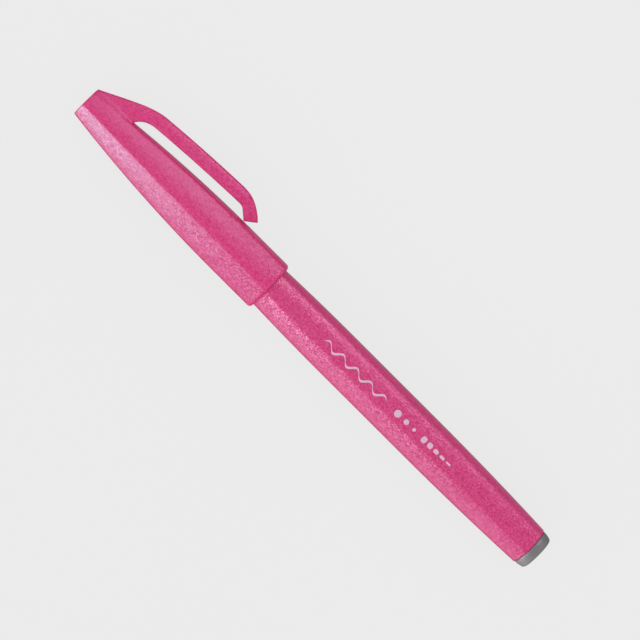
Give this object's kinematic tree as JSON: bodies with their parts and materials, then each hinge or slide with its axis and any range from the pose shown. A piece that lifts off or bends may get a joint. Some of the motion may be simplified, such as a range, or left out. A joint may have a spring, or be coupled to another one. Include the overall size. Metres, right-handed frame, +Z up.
{
  "type": "brush pen",
  "caption": "Capped brush pen with a soft six-sided pearly pink barrel, a fine flexible fibre nib, a push-on cap with a pocket clip, and a grey end plug.",
  "frame": {"origin": "centre of the tail plug's flat end face", "axes": "+X along the pen's axis from the tail to the capped writing end; +Z up, square to the side view of the clip; the pocket clip points towards -Y"},
  "size_m": [0.139, 0.0177, 0.0132],
  "materials": {
    "pearl_plastic": "satin",
    "grey_plastic": "satin",
    "natural_plastic": "satin",
    "inked_fibre": "matte",
    "film": "gloss"
  },
  "bodies": {
    "body": {"barrel": "pearl_plastic", "tail_plug": "grey_plastic", "nib_holder": "grey_plastic", "nib_shank": "inked_fibre", "reservoir_core": "inked_fibre", "reservoir_film": "film"},
    "nib": {"nib_point": "inked_fibre"},
    "liner": {"cap_liner": "natural_plastic"},
    "cap": {"cap_shell": "pearl_plastic"},
    "clip": {"pocket_clip": "pearl_plastic"}
  },
  "joints": [
    {"name": "cap_pull", "type": "slide", "parent": "body", "child": "liner", "axis": [1, 0, 0], "range_m": [0, 0.06]},
    {"name": "cap_turn", "type": "hinge", "parent": "liner", "child": "cap", "pos_m": [0.1, 0, 0], "axis": [1, 0, 0], "continuous": true},
    {"name": "clip_flex", "type": "hinge", "parent": "cap", "child": "clip", "pos_m": [0.1256, -0.0085, 0], "axis": [0, 0, 1], "range_deg": [0, 5], "stiffness_Nm_per_rad": 0.3},
    {"name": "nib_flex", "type": "hinge", "parent": "body", "child": "nib", "pos_m": [0.1123, 0, 0], "axis": [0, 0, 1], "range_deg": [-20, 20], "stiffness_Nm_per_rad": 0.005}
  ]
}
